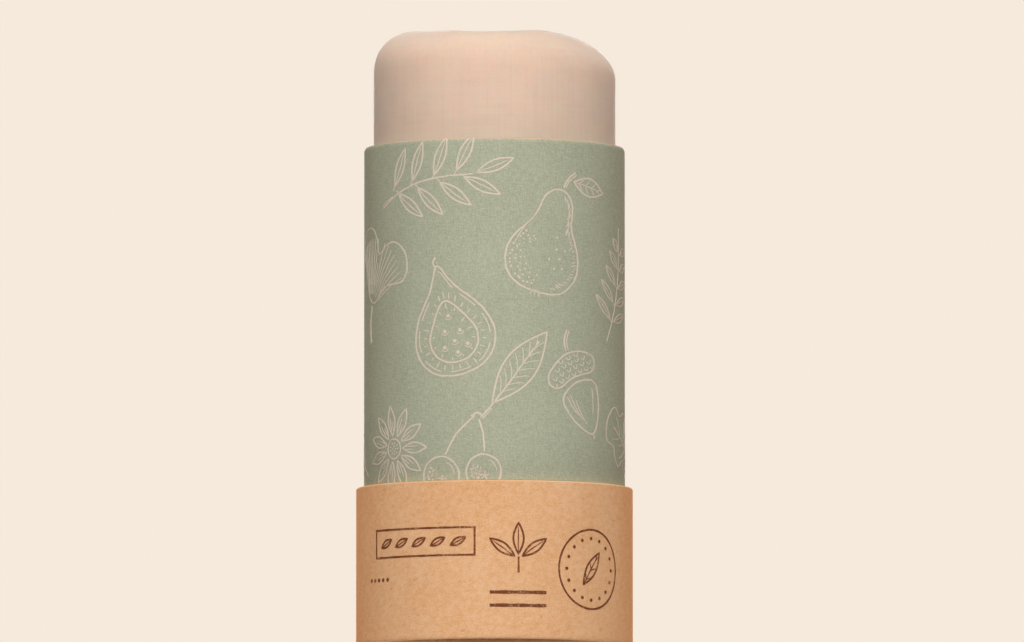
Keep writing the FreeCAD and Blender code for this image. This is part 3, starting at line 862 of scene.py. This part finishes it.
class InkOnWall:
    """Drawn lines and dots laid on a round wall, gathered into one mesh."""

    def __init__(self, radius, low, high, round_start, edge_round):
        self.radius = radius
        self.low = low
        self.high = high
        self.round_start = round_start
        self.edge_round = edge_round
        self.verts = []
        self.faces = []

    def wall_point(self, across, upward, lift):
        """Point in metres, from the bearing in radians and the length up the wall and its rounding."""
        over = max(0.0, upward - self.round_start) / self.edge_round
        radius = self.radius - self.edge_round + (self.edge_round + lift) * math.cos(over)
        height = min(upward, self.round_start) + (self.edge_round + lift) * math.sin(over)
        return (radius * math.sin(across) * MM, -radius * math.cos(across) * MM, height * MM)

    def placed(self, points, bearing, height, tilt):
        """Points of a drawing as bearing and length up the wall."""
        cos, sin = math.cos(tilt), math.sin(tilt)
        across = points[:, 0] * cos - points[:, 1] * sin
        upward = points[:, 0] * sin + points[:, 1] * cos
        return np.column_stack([bearing + across / self.radius, height + upward])

    def add_line(self, middle, half, closed, place):
        """Strip with a rectangular section, cut off at the field's edges."""
        if closed:
            along = np.roll(middle, -1, axis=0) - np.roll(middle, 1, axis=0)
        else:
            along = np.gradient(middle, axis=0)
        along /= np.linalg.norm(along, axis=1)[:, None]
        side = np.column_stack([-along[:, 1], along[:, 0]]) * half[:, None]
        left = self.placed(middle + side, *place)
        right = self.placed(middle - side, *place)
        if closed:
            left = np.vstack([left, left[:1]])
            right = np.vstack([right, right[:1]])
        run = []
        for i in range(len(left)):
            inside = all(self.low <= edge[i, 1] <= self.high for edge in (left, right))
            if inside:
                run.append((left[i], right[i]))
            elif run:
                run.append(self.cut(run[-1], (left[i], right[i])))
                self.add_strip(run)
                run = []
            if not inside and i + 1 < len(left):
                if all(self.low <= edge[i + 1, 1] <= self.high for edge in (left, right)):
                    run.append(self.cut((left[i + 1], right[i + 1]), (left[i], right[i])))
        self.add_strip(run)

    def cut(self, inner, outer):
        """Pair of edge points moved from outside the field to its edge."""
        pair = []
        for near, far in zip(inner, outer):
            limit = min(max(far[1], self.low), self.high)
            rise = far[1] - near[1]
            share = (limit - near[1]) / rise if abs(rise) > 1e-9 else 1.0
            pair.append(near + (far - near) * share)
        return tuple(pair)

    def add_strip(self, run):
        if len(run) < 2:
            return
        first = len(self.verts)
        for left, right in run:
            for point, lift in ((left, INK_FOOT), (left, INK_TOP), (right, INK_TOP), (right, INK_FOOT)):
                self.verts.append(self.wall_point(*point, lift))
        for i in range(len(run) - 1):
            here = first + 4 * i
            for corner in range(4):
                after = (corner + 1) % 4
                self.faces.append((here + corner, here + after, here + 4 + after, here + 4 + corner))
        last = first + 4 * (len(run) - 1)
        self.faces.append((first + 3, first + 2, first + 1, first))
        self.faces.append((last, last + 1, last + 2, last + 3))

    def add_dot(self, centre, radius, place):
        turns = 2 * math.pi * np.arange(DOT_CORNERS) / DOT_CORNERS
        circle = centre + radius * np.column_stack([np.cos(turns), np.sin(turns)])
        laid = self.placed(circle, *place)
        if laid[:, 1].min() < self.low or laid[:, 1].max() > self.high:
            return
        first = len(self.verts)
        for lift in (INK_FOOT, INK_TOP):
            self.verts += [self.wall_point(*point, lift) for point in laid]
        top = first + DOT_CORNERS
        for corner in range(DOT_CORNERS):
            after = (corner + 1) % DOT_CORNERS
            self.faces.append((first + corner, first + after, top + after, top + corner))
        self.faces.append(tuple(top + corner for corner in range(DOT_CORNERS)))
        self.faces.append(tuple(first + corner for corner in reversed(range(DOT_CORNERS))))

    def draw(self, parts, bearing, height, tilt=0.0):
        place = (math.radians(bearing), height, math.radians(tilt))
        for part in parts:
            if part[0] == "dot":
                self.add_dot(*part[1:], place)
            else:
                self.add_line(*part[1:], place)

    def to_object(self, name):
        mesh = bpy.data.meshes.new(name)
        mesh.from_pydata(self.verts, [], self.faces)
        mesh.validate()
        return link(bpy.data.objects.new(name, mesh))


def wrap_line_art():
    round_start = TUBE_HIGH.z - RIM_ROUND
    edge_round = RIM_ROUND + WRAP_RADIUS - TUBE_HIGH.x
    top = round_start + edge_round * math.radians(WRAP_OVER_RIM)
    ink = InkOnWall(WRAP_RADIUS, WRAP_LOW.z, top, round_start, edge_round)
    for drawing, bearing, share, tilt in WRAP_DRAWINGS:
        height = WRAP_LOW.z + share * (round_start - WRAP_LOW.z)
        for repeat in range(PATTERN_REPEATS):
            ink.draw(drawing(), bearing + 360.0 * repeat / PATTERN_REPEATS, height, tilt)
    return ink.to_object("wrap_line_art")


def collar_marks():
    low = COLLAR_LOW.z + COLLAR_FOOT_ROUND
    high = COLLAR_HIGH.z - COLLAR_TOP_ROUND
    ink = InkOnWall(COLLAR_RADIUS, low, high, high, COLLAR_TOP_ROUND)
    for mark, bearing, height in COLLAR_MARKS:
        ink.draw(mark(), bearing, height)
    return ink.to_object("collar_marks")


# Studio

def camera():
    """Long lens, a little below level; the tube's axis is left of the image's middle."""
    aside = (IMAGE_WIDTH / 2 - AXIS_COLUMN) / PIXELS_PER_MM
    target = Vector((aside, 0.0, CENTRE_HEIGHT)) * MM
    below = math.radians(VIEW_BELOW)
    forward = Vector((0.0, math.cos(below), math.sin(below)))
    data = bpy.data.cameras.new("camera")
    data.sensor_width = SENSOR_WIDTH
    data.lens = SENSOR_WIDTH * PIXELS_PER_MM / MM * CAMERA_DISTANCE / IMAGE_WIDTH
    data.clip_start = CLIP_START
    data.clip_end = CLIP_END
    made = link(bpy.data.objects.new("camera", data))
    made.location = target - forward * CAMERA_DISTANCE
    made.rotation_euler = forward.to_track_quat("-Z", "Y").to_euler()
    bpy.context.scene.camera = made


def softbox(name, azimuth, elevation, share, colour=LAMP_WHITE):
    """Square lamp aimed at the object; share is what it adds on a wall that faces its azimuth."""
    around = math.radians(azimuth)
    up = math.radians(elevation)
    away = Vector((math.sin(around) * math.cos(up), -math.cos(around) * math.cos(up), math.sin(up)))
    data = bpy.data.lights.new(name, "AREA")
    data.shape = "SQUARE"
    data.size = LAMP_SIZE
    data.color = colour
    data.energy = share / math.cos(up) * math.pi ** 2 * LAMP_DISTANCE ** 2
    lamp = link(bpy.data.objects.new(name, data))
    lamp.location = Vector((0, 0, LAMP_AIM_HEIGHT)) + away * LAMP_DISTANCE
    lamp.rotation_euler = (-away).to_track_quat("-Z", "Y").to_euler()
    lamp.visible_camera = False


def seen_directly(tree):
    """1 on rays from the camera and in mirrors and glass, otherwise 0."""
    path = node(tree, "ShaderNodeLightPath").outputs
    mirrored_rays = maths(tree, "MAXIMUM", path["Is Glossy Ray"], path["Is Transmission Ray"])
    return maths(tree, "MAXIMUM", path["Is Camera Ray"], mirrored_rays)


def world():
    made = bpy.data.worlds.new("studio")
    made.use_nodes = True
    tree = made.node_tree
    tree.nodes.clear()
    seen = seen_directly(tree)
    ambient = node(tree, "ShaderNodeBackground", {"Color": AMBIENT_COLOUR, "Strength": AMBIENT}).outputs[0]
    backdrop = node(tree, "ShaderNodeBackground", {"Color": linear(BACKGROUND), "Strength": 1.0}).outputs[0]
    mixed = node(tree, "ShaderNodeMixShader", {0: seen, 1: ambient, 2: backdrop}).outputs[0]
    node(tree, "ShaderNodeOutputWorld", {0: mixed})
    bpy.context.scene.world = made


def floor():
    """Pale disc that fades out into the background and isn't seen from below."""
    turns = [2 * math.pi * index / FLOOR_CORNERS for index in range(FLOOR_CORNERS)]
    edge = [(FLOOR_RADIUS * math.cos(turn), FLOOR_RADIUS * math.sin(turn), 0.0) for turn in turns]
    mesh = bpy.data.meshes.new("floor")
    mesh.from_pydata(edge, [], [tuple(range(FLOOR_CORNERS))])
    made = link(bpy.data.objects.new("floor", mesh))
    made.visible_diffuse = False
    made.visible_shadow = False
    material, tree = new_material("pale_floor")
    lit = node(tree, "ShaderNodeBsdfDiffuse", {"Color": linear(BACKGROUND)}).outputs[0]
    level = AMBIENT + KEY_SHARE * math.tan(math.radians(KEY_ELEVATION))
    level += (RIM_LEFT + RIM_RIGHT) * math.tan(math.radians(RIM_ELEVATION))
    level += BACK_SHARE * math.tan(math.radians(BACK_ELEVATION))
    lift = maths(tree, "MULTIPLY", seen_directly(tree), max(0.0, 1.0 - level))
    glow = node(tree, "ShaderNodeEmission", {"Color": linear(BACKGROUND), "Strength": lift}).outputs[0]
    pale = node(tree, "ShaderNodeAddShader", {0: lit, 1: glow}).outputs[0]
    clear = node(tree, "ShaderNodeBsdfTransparent").outputs[0]
    coordinates = node(tree, "ShaderNodeTexCoord").outputs["Object"]
    away = node(tree, "ShaderNodeVectorMath", {0: coordinates}, operation="LENGTH").outputs["Value"]
    faded = between(tree, away, 0.45 * FLOOR_RADIUS, 0.95 * FLOOR_RADIUS)
    under = node(tree, "ShaderNodeNewGeometry").outputs["Backfacing"]
    hidden = maths(tree, "MAXIMUM", faded, under)
    mixed = node(tree, "ShaderNodeMixShader", {0: hidden, 1: pale, 2: clear}).outputs[0]
    node(tree, "ShaderNodeOutputMaterial", {0: mixed})
    mesh.materials.append(material)


def dress(piece, material):
    piece.data.materials.clear()
    piece.data.materials.append(material)


# Pieces and materials

bpy.context.scene.view_settings.view_transform = "Standard"
camera()
world()
softbox("key", 0.0, KEY_ELEVATION, KEY_SHARE)
softbox("rim_left", -RIM_AZIMUTH, RIM_ELEVATION, RIM_LEFT, RIM_COLOUR)
softbox("rim_right", RIM_AZIMUTH, RIM_ELEVATION, RIM_RIGHT, RIM_COLOUR)
softbox("back", 180.0, BACK_ELEVATION, BACK_SHARE)
softbox("below", 0.0, BELOW_ELEVATION, BELOW_SHARE)
floor()

dress(frame["nodes"]["body_tube"], board_material())
dress(frame["nodes"]["printed_wrap"], green_material())
dress(frame["nodes"]["base_collar"], collar_material())
pressed = pressed_board_material()
dress(frame["nodes"]["piston_disc"], pressed)
dress(frame["nodes"]["piston_ring"], pressed)

bar = link(bpy.data.objects.new("worn_bar", bar_mesh()))
dress(bar, bar_material())
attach(bar, "piston")
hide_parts("deodorant_bar")

line_art = wrap_line_art()
dress(line_art, ink_material("cream_line_ink", INK_CREAM, linear(GREEN), WRAP_RADIUS))
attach(line_art, "tube")
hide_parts("wrap_print")

marks = collar_marks()
dress(marks, ink_material("brown_mark_ink", INK_BROWN, linear(KRAFT), COLLAR_RADIUS))
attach(marks, "tube")
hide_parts("collar_print")
